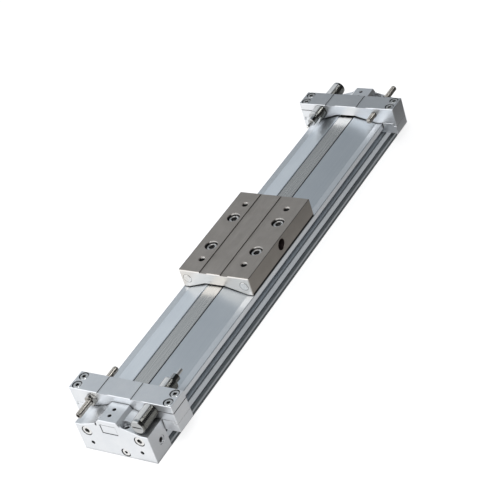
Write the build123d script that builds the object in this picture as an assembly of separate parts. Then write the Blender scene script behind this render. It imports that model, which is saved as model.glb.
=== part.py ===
from build123d import *
import math
import os

# Rodless pneumatic cylinder, in millimetres. +X runs along the tube and +Z is up. The origin is
# at the middle of the tube's length and width, on the surface that the tube stands on. The near
# end is at -X. The belt slot lies a little to the +Y side of the tube's middle.

# Tube extrusion
tube_length = 388.8
tube_width = 65.7
rail_height = 25.0
rail_width = 5.7
roof_height = 30.2
roof_flat = 15.8
arch_flat = 18.2
slot_offset = 1.4
slot_width = 8.4
band_recess_width = 14.4
band_recess_depth = 0.8
bore_width = 38.4
bore_height = 14.4
bore_floor = 6.8
belt_seat_width = 14.0
belt_seat_depth = 0.9
foot_groove_height = 1.2
foot_groove_size = 0.7

# T-slots in both sides of the tube: floor, mouth, depth, lip thickness and undercut of each
upper_slot_floor = 13.6
upper_slot_mouth = 6.8
upper_slot_depth = 5.6
lower_slot_floor = 4.2
lower_slot_mouth = 4.4
lower_slot_depth = 4.6
slot_lip = 1.6
slot_undercut = 0.9

# Belts
seal_belt_width = 13.4
seal_belt_thickness = 0.6
dust_band_width = 13.0
dust_band_thickness = 0.4
belt_bend = 25.0
belt_end_setback = 1.5

# End covers
cover_length = 19.5
cover_rise = 1.0
shoulder_slope = 0.285
crown_height = 34.5
crown_width = 15.8
crown_left_run = 5.8
crown_right_run = 1.5
cover_chamfer = 0.4
gasket_margin = 1.8
gasket_thickness = 0.6

# What the end covers hold
cover_screw_spread = 47.4
cover_screw_height = 20.1
cover_screw_size = 5.0
cover_screw_head = 8.5
cover_screw_depth = 10.0
cover_screw_socket = 4.0
bracket_hole_spread = 44.6
bracket_hole_height = 8.7
bracket_hole_size = 3.3
bracket_hole_depth = 8.0
needle_offset = -6.1
needle_height = 4.9
needle_size = 5.0
needle_head = 7.0
needle_length = 13.0
needle_socket = 2.5
side_port_setback = 12.1
side_port_height = 12.9
top_port_setback = 4.5
top_port_offset = -12.6
top_port_depth = 12.0
port_size = 4.2
port_depth = 10.0
port_face = 7.4
port_passage = 3.0
spigot_size = 8.0
spigot_bore = 4.0
spigot_length = 12.0
spigot_seat = 5.0
clamp_block_width = 14.0
clamp_block_recess = 0.3
set_screw_size = 3.0
set_screw_setback = 6.2
set_screw_pitch = 6.4
set_screw_sink = 1.1
relief_slot_length = 5.2
relief_slot_width = 1.5
relief_slot_depth = 2.0
relief_slot_offset = 12.0
relief_slot_setback = 1.9
relief_slot_pitch = 9.5

# Stopper blocks, clamped on the rails beside the end covers
block_length = 18.15
block_width = 92.5
block_height = 40.5
block_gap = 0.2
block_arch_gap = 0.8
block_groove_start = 10.3
block_groove_width = 10.0
block_groove_depth = 0.5
block_chamfer = 0.4
split_height = 26.1
split_gap = 0.1
skirt_width = 2.3
skirt_height = 23.5
clamp_floor = 15.8
clamp_side_gap = 0.15
clamp_tongue = 2.6
clamp_screw_size = 4.0
clamp_screw_head = 7.0
clamp_screw_socket = 3.0
clamp_screw_inset = 5.05
clamp_screw_pitch = 9.2
clamp_screw_floor = 17.0
slit_height = 0.7

# Shock absorbers and adjusting bolts, on one axis height, one of each in a block
stopper_height = 33.8
stopper_offset = 26.5
absorber_size = 12.0
absorber_chamfer = 0.8
absorber_tail = 18.8
absorber_reach = 11.0
absorber_nose_size = 7.0
absorber_nose_length = 6.5
absorber_chamber_size = 8.0
absorber_chamber_length = 35.0
absorber_wall = 5.0
absorber_driver_slot = 1.2
rod_size = 2.8
rod_stroke = 7.0
rod_left_out = 0.5
rod_piston_size = 7.4
rod_piston_length = 4.0
spring_wire = 0.6
spring_turns = 6
bolt_size = 5.0
bolt_length = 52.5
near_bolt_reach = 15.2
far_bolt_reach = 11.0
bolt_tip = 1.6
nut_width = 8.0
nut_thickness = 4.0
nut_corner_trim = 0.4

# Slide table
table_position = -4.6
table_length = 102.8
table_inset = 0.2
table_height = 41.7
table_floor = 25.15
table_arch_gap = 0.5
table_chamfer = 0.7
table_groove_start = 6.2
table_groove_width = 7.0
table_groove_depth = 0.6
table_end_wall = 4.6
table_hole_spread_x = 71.0
table_hole_spread_y = 39.6
table_hole_size = 5.0
table_hole_depth = 9.5
table_hole_countersink = 0.4
table_screw_spread_x = 36.4
table_screw_edge = 4.7
table_screw_size = 6.0
table_screw_head = 10.0
table_screw_head_height = 4.0
table_screw_socket = 5.0
table_screw_sink = 1.8
side_hole_size = 9.5
side_hole_height = 35.4
side_hole_depth = 5.5
hit_pad_size = 7.2
hit_pad_length = 8.0
hit_pad_proud = 0.25
bearing_width = 3.2
bearing_thickness = 1.8
bearing_length = 88.0
bearing_gap = 0.05
scraper_thickness = 1.6
scraper_height = 2.2
scraper_gap = 0.1
scraper_setback = 0.8

# Yoke between the table and the pistons
saddle_length = 51.6
saddle_inset = 1.35
saddle_top = 33.1
saddle_gap = 0.8
lifter_tip = 0.4
bridge_length = 44.0
bridge_gap = 0.3
yoke_length = 56.0
piston_gap = 0.4
tunnel_height = 1.7
tunnel_roof = 2.5
magnet_size = 5.0
magnet_length = 3.5
magnet_recess = 1.0

# Pistons and the belt guides between them and the yoke
guide_length = 18.5
piston_length = 20.0
piston_screw_size = 4.0
piston_screw_head = 7.0
piston_screw_head_height = 2.8
piston_screw_engagement = 12.0
piston_screw_socket = 2.5
piston_screw_drop = 0.8
cushion_pocket_size = 9.2
cushion_pocket_depth = 13.0
cushion_seal_size = 11.2
cushion_seal_bore = 8.4
cushion_seal_width = 2.2
piston_seal_setback = 2.4
piston_seal_width = 2.4
piston_seal_depth = 2.6
piston_seal_gap = 0.2
wear_ring_setback = 7.0
wear_ring_width = 5.0
wear_ring_depth = 1.2
wear_ring_gap = 0.15

# Clearances
belt_clearance = 0.3
channel_clearance = 0.6
slide_clearance = 0.2
thread_clearance = 0.05
hole_clearance = 0.15
counterbore_clearance = 0.5
head_sink = 0.4
ramp_lead = 3.0
edge_break = 0.4
screw_tip_room = 2.0

# Places that follow from the sizes above
tube_end = tube_length / 2
cover_end = tube_end + cover_length
half_tube = tube_width / 2
roof_foot = half_tube - rail_width
bore_middle = bore_floor + bore_height / 2
bore_top = bore_floor + bore_height
seal_belt_top = bore_top + belt_seat_depth
seal_belt_level = seal_belt_top - seal_belt_thickness
dust_band_level = roof_height - band_recess_depth
dust_band_top = dust_band_level + dust_band_thickness
block_outer = tube_end - block_gap
block_inner = block_outer - block_length
table_end = table_length / 2
table_width = tube_width - 2 * table_inset
saddle_end = saddle_length / 2
saddle_width = 2 * (roof_foot - saddle_inset)
table_screw_spread_y = saddle_width - 2 * table_screw_edge
table_screw_seat = table_height - table_screw_head_height - table_screw_sink
counterbore_radius = table_screw_head / 2 + counterbore_clearance
yoke_end = yoke_length / 2
piston_start = yoke_end + guide_length
piston_end = piston_start + piston_length
yoke_top = bore_top - piston_gap
tunnel_top = yoke_top - tunnel_roof
tunnel_floor = tunnel_top - tunnel_height
sunk_belt_level = tunnel_floor + (tunnel_height - seal_belt_thickness) / 2
raised_band_level = saddle_top + belt_clearance
channel_roof = raised_band_level + dust_band_thickness + channel_clearance + table_groove_depth
channel_end = table_end - table_end_wall
channel_half = dust_band_width / 2 + channel_clearance + slide_clearance
band_ramp_start = saddle_end + ramp_lead / 2
band_ramp_slope = (raised_band_level - dust_band_level) / (channel_end - band_ramp_start)
piston_screw_height = bore_middle - piston_screw_drop
absorber_shoulder = block_inner - absorber_reach
absorber_nose = absorber_shoulder - absorber_nose_length
rod_tip = absorber_nose - rod_stroke - rod_left_out
chamber_start = absorber_nose + absorber_nose_length + absorber_wall

ENDS = {"near": -1, "far": 1}
SIDES = (-1, 1)
BOTTOM = (Align.CENTER, Align.CENTER, Align.MIN)
TOP = (Align.CENTER, Align.CENTER, Align.MAX)


def block(x_span, y_span, z_span):
    """Box between two planes on each axis."""
    spans = (x_span, y_span, z_span)
    middle = [sum(span) / 2 for span in spans]
    sizes = [abs(span[1] - span[0]) for span in spans]
    return Pos(*middle) * Box(*sizes)


def along_x(profile, start, end):
    """Solid of a profile drawn in (y, z), from one x to another."""
    low, high = sorted((start, end))
    return extrude(Plane.YZ.offset(low) * profile, amount=high - low)


def along_y(profile, start, end):
    """Solid of a profile drawn in (x, z), from one y to another."""
    low, high = sorted((start, end))
    return extrude(Plane.XZ.offset(-high) * profile, amount=high - low)


def rod_x(start, end, y, z, size):
    """Round rod along X."""
    return along_x(Pos(y, z) * Circle(size / 2), start, end)


def polygon(points):
    """Flat face with straight sides."""
    return make_face(Polyline(*points, close=True))


def group(pieces):
    """Several separate solids that share one file."""
    return Compound(children=list(pieces))


def chamfer_ends(solid, size):
    """Break the outer edges of a solid's two X faces."""
    faces = solid.faces().sort_by(Axis.X)
    edges = faces[0].outer_wire().edges() + faces[-1].outer_wire().edges()
    return chamfer(edges, size)


def roof_points(rise, outer=roof_foot, flat=arch_flat):
    """The line of an arch over the roof from the +Y foot to the -Y foot, raised by an amount."""
    slope = (roof_height - rail_height) / (roof_foot - flat / 2)
    foot = rail_height + rise + (roof_foot - outer) * slope
    left = slot_offset + flat / 2
    right = slot_offset - flat / 2
    top = roof_height + rise
    return [(outer, foot), (left, top), (right, top), (-outer, foot)]


def oblong(gap):
    """Outline of the bore, smaller by a gap all round."""
    return Pos(slot_offset, bore_middle) * SlotOverall(bore_width - 2 * gap, bore_height - 2 * gap)


def socket_screw(size, length, head, head_height, socket):
    """Socket cap screw with its head above z = 0 and its shank below."""
    screw = Cylinder(head / 2, head_height, align=BOTTOM)
    screw = chamfer(screw.edges().sort_by(Axis.Z)[-1], edge_break)
    screw += Cylinder(size / 2, length, align=TOP)
    recess = extrude(RegularPolygon(socket / 2, 6, major_radius=False), amount=socket / 2)
    return screw - Pos(0, 0, head_height - socket / 2) * recess


def side_slot(side, floor, mouth, depth):
    """T-slot in one side of the tube: a mouth through the lip, and a wider room behind it."""
    face = side * half_tube
    lip = side * (half_tube - slot_lip)
    back = side * (half_tube - depth)
    low, high = floor - slot_undercut, floor + mouth + slot_undercut
    return polygon([(face, floor), (lip, floor), (lip, low), (back, low),
                    (back, high), (lip, high), (lip, floor + mouth), (face, floor + mouth)])


def foot_groove(side):
    """Fine V groove low on one side of the tube."""
    face = side * half_tube
    middle = foot_groove_height + foot_groove_size / 2
    return polygon([(face, foot_groove_height), (face - side * foot_groove_size, middle),
                    (face, foot_groove_height + foot_groove_size)])


def cylinder_tube():
    """Extrusion with an oblong bore, a belt slot and its seats, and T-slots in both sides."""
    outline = polygon([(-half_tube, 0), (-half_tube, rail_height)]
                      + roof_points(0, flat=roof_flat)[::-1]
                      + [(half_tube, rail_height), (half_tube, 0)])
    outline -= oblong(0)
    seat_middle = (bore_middle + seal_belt_top) / 2
    outline -= Pos(slot_offset, seat_middle) * Rectangle(belt_seat_width, seal_belt_top - bore_middle)
    slot_middle = (bore_middle + roof_height) / 2
    outline -= Pos(slot_offset, slot_middle) * Rectangle(slot_width, roof_height - bore_middle)
    recess_middle = roof_height - band_recess_depth / 2
    outline -= Pos(slot_offset, recess_middle) * Rectangle(band_recess_width, band_recess_depth)
    for side in SIDES:
        outline -= side_slot(side, upper_slot_floor, upper_slot_mouth, upper_slot_depth)
        outline -= side_slot(side, lower_slot_floor, lower_slot_mouth, lower_slot_depth)
        outline -= foot_groove(side)
    tube = along_x(outline, -tube_end, tube_end)
    hole = cover_screw_size + 2 * thread_clearance
    for end in SIDES:
        for side in SIDES:
            bottom = end * (tube_end - cover_screw_depth - screw_tip_room)
            y = side * cover_screw_spread / 2
            tube -= rod_x(bottom, end * tube_end, y, cover_screw_height, hole)
    return tube


def belt(level, passing_level, ramp_start, ramp_end, thickness, width):
    """Belt that lies at one level and runs at another past the yoke, with a ramp each side."""
    reach = cover_end - belt_end_setback
    path = [(-reach, level),
            (table_position - ramp_end, level),
            (table_position - ramp_start, passing_level),
            (table_position + ramp_start, passing_level),
            (table_position + ramp_end, level),
            (reach, level)]
    under = FilletPolyline(*path, radius=belt_bend)
    over = Pos(0, thickness) * under
    closing = [Line((x, level), (x, level + thickness)) for x in (-reach, reach)]
    face = make_face(under.edges() + over.edges() + closing[0].edges() + closing[1].edges())
    return along_y(face, slot_offset - width / 2, slot_offset + width / 2)


def seal_belt():
    """Inner belt: closes the slot from inside the bore and dips through the yoke's tunnel."""
    return belt(seal_belt_level, sunk_belt_level, yoke_end + ramp_lead / 2,
                piston_start - ramp_lead / 2, seal_belt_thickness, seal_belt_width)


def dust_band():
    """Outer band: lies in the roof's recess and rises over the saddle, under the table."""
    return belt(dust_band_level, raised_band_level, band_ramp_start, channel_end,
                dust_band_thickness, dust_band_width)


def cover_outline():
    """End cover's outline: the tube's, a little higher, with a crown over the belt slot."""
    eave = rail_height + cover_rise
    left = crown_width / 2 + crown_left_run
    right = crown_width / 2 + crown_right_run
    return polygon([(-half_tube, 0), (-half_tube, eave), (-roof_foot, eave),
                    (-right, eave + (roof_foot - right) * shoulder_slope),
                    (-crown_width / 2, crown_height), (crown_width / 2, crown_height),
                    (left, eave + (roof_foot - left) * shoulder_slope),
                    (roof_foot, eave), (half_tube, eave), (half_tube, 0)])


def set_screw_places(end):
    """x of the two screws that press on the belt clamp."""
    first = cover_end - set_screw_setback
    return [end * first, end * (first - set_screw_pitch)]


def end_cover(end):
    """Cover with its screw seats, ports, belt pocket, cushion needle hole and bracket holes."""
    cover = along_x(cover_outline(), end * tube_end, end * cover_end)
    outer_face = cover.faces().sort_by(Axis.X)[-1 if end > 0 else 0]
    cover = chamfer(outer_face.outer_wire().edges(), cover_chamfer)
    inner, outer = end * tube_end, end * cover_end
    # Recess for the gasket
    gasket_floor = inner + end * gasket_thickness
    cover -= along_x(oblong(-gasket_margin), inner, gasket_floor)
    # Pocket that the belts run into, with the clamp block between them
    pocket = (slot_offset - clamp_block_width / 2 - hole_clearance,
              slot_offset + clamp_block_width / 2 + hole_clearance)
    cover -= block((inner, outer), pocket, (seal_belt_level, dust_band_top + belt_clearance))
    for x in set_screw_places(end):
        hole = Cylinder(set_screw_size / 2 + thread_clearance, crown_height, align=BOTTOM)
        cover -= Pos(x, slot_offset, dust_band_top) * hole
    # Cap screw seats and bracket holes
    seat = outer - end * (cover_screw_size + head_sink)
    for side in SIDES:
        y = side * cover_screw_spread / 2
        wide = cover_screw_head + counterbore_clearance
        cover -= rod_x(inner, outer, y, cover_screw_height, cover_screw_size + 2 * hole_clearance)
        cover -= rod_x(seat, outer, y, cover_screw_height, wide)
        y = side * bracket_hole_spread / 2
        bottom = outer - end * bracket_hole_depth
        cover -= rod_x(bottom, outer, y, bracket_hole_height, bracket_hole_size)
    # Air path: side port, hollow spigot and the needle's cross hole
    port_x = outer - end * side_port_setback
    depth = half_tube + slot_offset
    port = Pos(port_x, -half_tube, side_port_height) * Rot(-90, 0, 0)
    cover -= port * Cylinder(port_passage / 2, depth, align=BOTTOM)
    cover -= port * Cylinder(port_size / 2, port_depth, align=BOTTOM)
    cover -= port * Cylinder(port_face / 2, head_sink, align=BOTTOM)
    cover -= rod_x(inner, port_x, slot_offset, bore_middle, spigot_bore)
    spigot_hole = inner + end * spigot_seat
    cover -= rod_x(inner, spigot_hole, slot_offset, bore_middle, spigot_size)
    cross = Cylinder(spigot_bore / 4, side_port_height - needle_height, align=BOTTOM)
    cover -= Pos(port_x, needle_offset, needle_height) * cross
    # Needle hole
    needle_floor = outer - end * (needle_length + head_sink)
    needle_seat = outer - end * (needle_size / 2 + head_sink)
    wide = needle_head + 2 * counterbore_clearance
    hole = needle_size + 2 * thread_clearance
    cover -= rod_x(needle_floor, outer, needle_offset, needle_height, hole)
    cover -= rod_x(needle_seat, outer, needle_offset, needle_height, wide)
    # Top port and the two relief slots beside the crown
    top_port = Pos(outer - end * top_port_setback, top_port_offset, crown_height)
    cover -= top_port * Cylinder(port_face / 2, top_port_depth - port_size, align=TOP)
    cover -= top_port * Cylinder(port_size / 2, top_port_depth, align=TOP)
    left_z = rail_height + cover_rise + (roof_foot - relief_slot_offset) * shoulder_slope
    for number in range(2):
        x = outer - end * (relief_slot_setback + number * relief_slot_pitch)
        shape = extrude(SlotOverall(relief_slot_length, relief_slot_width), amount=crown_height)
        cover -= Pos(x, relief_slot_offset, left_z - relief_slot_depth) * shape
    return cover


def cover_gasket(end):
    """Gasket round the bore, open where the seal belt passes."""
    inner, outer = end * tube_end, end * (tube_end + gasket_thickness)
    ring = along_x(oblong(-gasket_margin) - oblong(0), inner, outer)
    gap = (slot_offset - belt_seat_width / 2, slot_offset + belt_seat_width / 2)
    return ring - block((inner, outer), gap, (bore_middle, crown_height))


def cushion_spigot(end):
    """Hollow spigot that closes the piston's pocket near the end of the full stroke."""
    start, tip = end * (tube_end + spigot_seat), end * (tube_end - spigot_length)
    spigot = rod_x(start, tip, slot_offset, bore_middle, spigot_size)
    spigot = chamfer(spigot.edges().sort_by(Axis.X)[0 if end > 0 else -1], 2 * edge_break)
    return spigot - rod_x(start, tip, slot_offset, bore_middle, spigot_bore)


def belt_clamp(end):
    """Block between the two belts, pressed by the set screws above it."""
    inner, outer = end * (tube_end + gasket_thickness), end * (cover_end - clamp_block_recess)
    width = (slot_offset - clamp_block_width / 2, slot_offset + clamp_block_width / 2)
    clamp = block((inner, outer), width, (seal_belt_top, dust_band_level))
    ends = clamp.edges().filter_by(Axis.Z).sort_by(Axis.X)
    return chamfer(ends[2:] if end > 0 else ends[:2], edge_break)


def set_screws():
    """Set screws in the crowns of both covers."""
    length = crown_height - set_screw_sink - dust_band_top
    screw = Cylinder(set_screw_size / 2, length, align=BOTTOM)
    recess = extrude(RegularPolygon(set_screw_size / 4, 6, major_radius=False), amount=length / 2)
    screw -= Pos(0, 0, length / 2) * recess
    places = set_screw_places(-1) + set_screw_places(1)
    return group(Pos(x, slot_offset, dust_band_top) * screw for x in places)


def cover_screws():
    """Cap screws that pull the covers onto the tube."""
    head_height = cover_screw_size
    length = cover_length - head_height - head_sink + cover_screw_depth
    screw = socket_screw(cover_screw_size, length, cover_screw_head, head_height,
                         cover_screw_socket)
    pieces = []
    for end in SIDES:
        seat = end * (cover_end - head_height - head_sink)
        for side in SIDES:
            place = (seat, side * cover_screw_spread / 2, cover_screw_height)
            pieces.append(Plane(origin=place, z_dir=(end, 0, 0)) * screw)
    return group(pieces)


def cushion_needle(end):
    """Adjusting screw with a fine tapered tip."""
    head_height = needle_size / 2
    length = needle_length - head_height
    screw = socket_screw(needle_size, length, needle_head, head_height, needle_socket)
    tip = screw.faces().sort_by(Axis.Z)[0]
    screw = chamfer(tip.edges(), needle_size / 3)
    place = (end * (cover_end - head_sink - head_height), needle_offset, needle_height)
    return Plane(origin=place, z_dir=(end, 0, 0)) * screw


def absorber_side(end):
    """The absorber sits on the -Y side at the near end and on the +Y side at the far end."""
    return end


def stopper_block(end):
    """Block over the tube, with an absorber clamped in one side and a bolt in the other."""
    half = block_width / 2
    inside = half_tube + clamp_side_gap + split_gap
    skirt = half - skirt_width
    left = [(inside, rail_height), (inside, split_height), (skirt, split_height),
            (skirt, skirt_height), (half, skirt_height), (half, block_height)]
    right = [(-y, z) for y, z in reversed(left)]
    arch = roof_points(block_arch_gap)
    arch[0] = (roof_foot, rail_height)
    arch[-1] = (-roof_foot, rail_height)
    body = along_x(polygon(left + right + arch[::-1]), end * block_inner, end * block_outer)
    body = chamfer_ends(body, block_chamfer)
    span = (end * block_inner, end * block_outer)
    groove_z = (block_height - block_groove_depth, block_height)
    for side in SIDES:
        start = side * block_groove_start
        body -= block(span, (start, start + side * block_groove_width), groove_z)
    # Absorber hole with its clamping slit, and the threaded hole of the bolt
    y = absorber_side(end) * stopper_offset
    body -= rod_x(*span, y, stopper_height, absorber_size + 2 * thread_clearance)
    slit = (stopper_height - slit_height / 2, stopper_height + slit_height / 2)
    body -= block(span, (y, absorber_side(end) * half), slit)
    body -= rod_x(*span, -y, stopper_height, bolt_size + 2 * thread_clearance)
    # Clamp screw holes
    for x, y in clamp_screw_places(end):
        place = Pos(x, y, block_height)
        deep = clamp_screw_size + head_sink
        wide = clamp_screw_head / 2 + counterbore_clearance
        body -= place * Cylinder(wide, deep, align=TOP)
        body -= place * Cylinder(clamp_screw_size / 2 + hole_clearance, block_height, align=TOP)
    return body


def clamp_screw_places(end):
    """x and y of the four screws in one stopper block."""
    middle = end * (block_inner + block_outer) / 2
    y = block_width / 2 - clamp_screw_inset
    return [(middle + along * clamp_screw_pitch / 2, side * y) for along in SIDES for side in SIDES]


def rail_clamp(end, side):
    """Clamp under one side of a stopper block, hooked into the tube's upper T-slot."""
    half = block_width / 2
    face = half_tube + clamp_side_gap
    shelf = face + split_gap
    step = half - skirt_width - split_gap
    hook = half_tube - clamp_tongue
    rail_floor = upper_slot_floor + upper_slot_mouth
    points = [(hook, clamp_floor), (half, clamp_floor), (half, skirt_height - split_gap),
              (step, skirt_height - split_gap), (step, split_height - split_gap),
              (shelf, split_height - split_gap), (shelf, rail_height - split_gap),
              (face, rail_height - split_gap), (face, rail_floor), (hook, rail_floor)]
    outline = polygon([(side * y, z) for y, z in points])
    clamp = chamfer_ends(along_x(outline, end * block_inner, end * block_outer), block_chamfer)
    hole = Cylinder(clamp_screw_size / 2 + thread_clearance, block_height, align=BOTTOM)
    for x, y in clamp_screw_places(end):
        if y * side > 0:
            clamp -= Pos(x, y, clamp_screw_floor - split_gap) * hole
    return clamp


def clamp_screws(end):
    """Cap screws that pull the rail clamps up."""
    seat = block_height - clamp_screw_size - head_sink
    length = seat - clamp_screw_floor
    screw = socket_screw(clamp_screw_size, length, clamp_screw_head, clamp_screw_size,
                         clamp_screw_socket)
    return group(Pos(x, y, seat) * screw for x, y in clamp_screw_places(end))


def turned(radii, y):
    """Solid turned about an axis along X, from a list of (x, radius) and back along the axis."""
    first, last = radii[0][0], radii[-1][0]
    face = polygon([(first, 0)] + radii + [(last, 0)])
    solid = revolve(Plane.XZ * face, Axis.X)
    return Pos(0, y, stopper_height) * solid


def absorber_body(end):
    """Threaded absorber body with a plain nose, open inside for the rod and its piston."""
    tail = block_outer + absorber_tail
    radius, nose = absorber_size / 2, absorber_nose_size / 2
    profile = [(absorber_nose, nose - edge_break), (absorber_nose + edge_break, nose),
               (absorber_shoulder, nose), (absorber_shoulder, radius - absorber_chamfer),
               (absorber_shoulder + absorber_chamfer, radius), (tail - absorber_chamfer, radius),
               (tail, radius - absorber_chamfer)]
    y = absorber_side(end) * stopper_offset
    body = turned([(end * x, r) for x, r in profile], y)
    chamber_end = chamber_start + absorber_chamber_length
    body -= rod_x(end * chamber_start, end * chamber_end, y, stopper_height, absorber_chamber_size)
    hole = rod_size + 2 * thread_clearance
    body -= rod_x(end * absorber_nose, end * chamber_start, y, stopper_height, hole)
    # Screwdriver slot across the tail
    slot = (end * (tail - absorber_driver_slot), end * tail)
    half_slot = absorber_driver_slot / 2
    across = (stopper_height - half_slot, stopper_height + half_slot)
    return body - block(slot, (y - radius, y + radius), across)


def absorber_rod(end):
    """Absorber rod with its piston, shown fully out."""
    piston_front = chamber_start + belt_clearance
    rod, piston = rod_size / 2, rod_piston_size / 2
    profile = [(rod_tip, rod - edge_break), (rod_tip + edge_break, rod), (piston_front, rod),
               (piston_front, piston), (piston_front + rod_piston_length, piston)]
    return turned([(end * x, r) for x, r in profile], absorber_side(end) * stopper_offset)


def absorber_spring(end):
    """Return spring between the rod's piston and the chamber's closed end."""
    start = chamber_start + belt_clearance + rod_piston_length
    length = chamber_start + absorber_chamber_length - start
    radius = (absorber_chamber_size - 2 * hole_clearance - spring_wire) / 2
    pitch = (length - spring_wire - belt_clearance) / spring_turns
    path = Helix(pitch=pitch, height=pitch * spring_turns, radius=radius)
    section = Plane(origin=path @ 0, z_dir=path % 0) * Circle(spring_wire / 2)
    spring = Pos(0, 0, spring_wire / 2 + belt_clearance / 2) * sweep(section, path)
    place = (end * start, absorber_side(end) * stopper_offset, stopper_height)
    return Plane(origin=place, z_dir=(end, 0, 0)) * spring


def adjusting_bolt(end):
    """Threaded stop bolt with a rounded inner tip and a socket in its outer end."""
    inner = block_inner - (near_bolt_reach if end < 0 else far_bolt_reach)
    outer = inner + bolt_length
    radius = bolt_size / 2
    profile = [(inner, radius - bolt_tip), (inner + bolt_tip / 4, radius - bolt_tip / 2),
               (inner + bolt_tip, radius), (outer - edge_break, radius),
               (outer, radius - edge_break)]
    bolt = turned([(end * x, r) for x, r in profile], -absorber_side(end) * stopper_offset)
    place = (end * outer, -absorber_side(end) * stopper_offset, stopper_height)
    recess = extrude(RegularPolygon(bolt_size / 4, 6, major_radius=False), amount=-bolt_size / 2)
    return bolt - Plane(origin=place, z_dir=(end, 0, 0)) * recess


def lock_nut(end):
    """Hexagon nut against the outer face of the stopper block."""
    nut = extrude(RegularPolygon(nut_width / 2, 6, major_radius=False), amount=nut_thickness)
    corner = nut_width / 2 / math.cos(math.pi / 6)
    rim = Cylinder(corner, nut_thickness, align=BOTTOM)
    nut &= chamfer(rim.edges().sort_by(Axis.Z)[-1], nut_corner_trim)
    nut -= Cylinder(bolt_size / 2 + thread_clearance, nut_thickness, align=BOTTOM)
    place = (end * block_outer, -absorber_side(end) * stopper_offset, stopper_height)
    return Plane(origin=place, z_dir=(end, 0, 0)) * nut


def on_table(piece):
    """Place a piece of the carriage, drawn about the table's middle, at its rest position."""
    return Pos(table_position, 0, 0) * piece


def grid(spread_x, spread_y):
    """The four corners of a rectangle about the table's middle."""
    return [(along * spread_x / 2, side * spread_y / 2) for along in SIDES for side in SIDES]


def slide_table():
    """Anodised table with holes to fasten the load, hollowed for the saddle and the band."""
    half = table_width / 2
    arch = roof_points(table_arch_gap)
    arch[0] = (roof_foot, table_floor)
    arch[-1] = (-roof_foot, table_floor)
    outline = polygon([(-half, table_floor), (-half, table_height), (half, table_height),
                       (half, table_floor)] + arch)
    table = chamfer_ends(along_x(outline, -table_end, table_end), table_chamfer)
    full = (-table_end, table_end)
    for side in SIDES:
        start = side * table_groove_start
        edge = start + side * table_groove_width
        table -= block(full, (start, edge), (table_height - table_groove_depth, table_height))
        middle = side * (roof_foot + rail_width / 2)
        width = bearing_width / 2 + bearing_gap
        length = bearing_length / 2 + bearing_gap
        table -= block((-length, length), (middle - width, middle + width),
                       (table_floor, rail_height + bearing_gap + bearing_thickness))
    # Channel for the band and pocket for the saddle
    channel = (slot_offset - channel_half, slot_offset + channel_half)
    table -= block((-channel_end, channel_end), channel, (rail_height, channel_roof))
    length = saddle_end + slide_clearance
    width = saddle_width / 2 + slide_clearance
    table -= block((-length, length), (-width, width), (table_floor, saddle_top))
    # Grooves for the scrapers
    for end in SIDES:
        table -= scraper(end, slide_clearance / 2)
    # Load holes, saddle screws, side hole and hit pads
    for x, y in grid(table_hole_spread_x, table_hole_spread_y):
        place = Pos(x, y, table_height)
        table -= place * Cylinder(table_hole_size / 2, table_hole_depth, align=TOP)
        rim = table_hole_size / 2 + table_hole_countersink
        cone = Cone(table_hole_size / 2, rim, table_hole_countersink, align=TOP)
        table -= place * cone
    for x, y in grid(table_screw_spread_x, table_screw_spread_y):
        place = Pos(x, y, table_height)
        table -= place * Cylinder(table_screw_size / 2 + hole_clearance, table_height, align=TOP)
        table -= Pos(x, y, table_screw_seat) * Cylinder(counterbore_radius, table_height, align=BOTTOM)
    side_hole = Cylinder(side_hole_size / 2, side_hole_depth, align=BOTTOM)
    table -= Pos(0, -half, side_hole_height) * Rot(-90, 0, 0) * side_hole
    for end in SIDES:
        for side in SIDES:
            floor = end * (table_end - hit_pad_length + hit_pad_proud)
            y = side * stopper_offset
            table -= rod_x(floor, end * table_end, y, stopper_height, hit_pad_size)
    return on_table(table)


def hit_pads():
    """Hardened pads in the table's ends that meet the absorbers and bolts."""
    pieces = []
    for end in SIDES:
        for side in SIDES:
            tip = end * (table_end + hit_pad_proud)
            pad = rod_x(tip - end * hit_pad_length, tip, side * stopper_offset, stopper_height,
                        hit_pad_size)
            rim = pad.edges().filter_by(GeomType.CIRCLE).sort_by(Axis.X)[-1 if end > 0 else 0]
            pieces.append(on_table(chamfer(rim, hit_pad_proud)))
    return group(pieces)


def table_screws():
    """Cap screws that hold the table on the saddle."""
    roof_slope = (roof_height - rail_height) / (roof_foot - arch_flat / 2)
    saddle_floor = rail_height + saddle_gap + (roof_foot - table_screw_spread_y / 2) * roof_slope
    length = table_screw_seat - saddle_floor - table_screw_size / 4
    screw = socket_screw(table_screw_size, length, table_screw_head, table_screw_head_height,
                         table_screw_socket)
    places = grid(table_screw_spread_x, table_screw_spread_y)
    return group(on_table(Pos(x, y, table_screw_seat) * screw) for x, y in places)


def bearing_strips():
    """Plastic strips in the table's underside that slide on the rails."""
    pieces = []
    for side in SIDES:
        middle = side * (roof_foot + rail_width / 2)
        floor = rail_height + bearing_gap
        strip = block((-bearing_length / 2, bearing_length / 2),
                      (middle - bearing_width / 2, middle + bearing_width / 2),
                      (floor, floor + bearing_thickness))
        pieces.append(on_table(strip))
    return group(pieces)


def scraper(end, growth):
    """Scraper lip that follows the roof inside one end of the table, grown for its groove."""
    lower = roof_points(scraper_gap - growth)
    upper = roof_points(scraper_gap + scraper_height + growth)
    outer = end * (table_end - scraper_setback + growth)
    inner = outer - end * (scraper_thickness + 2 * growth)
    return along_x(polygon(lower + upper[::-1]), inner, outer)


def end_scrapers():
    """The two scrapers."""
    return group(on_table(scraper(end, 0)) for end in SIDES)


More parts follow.
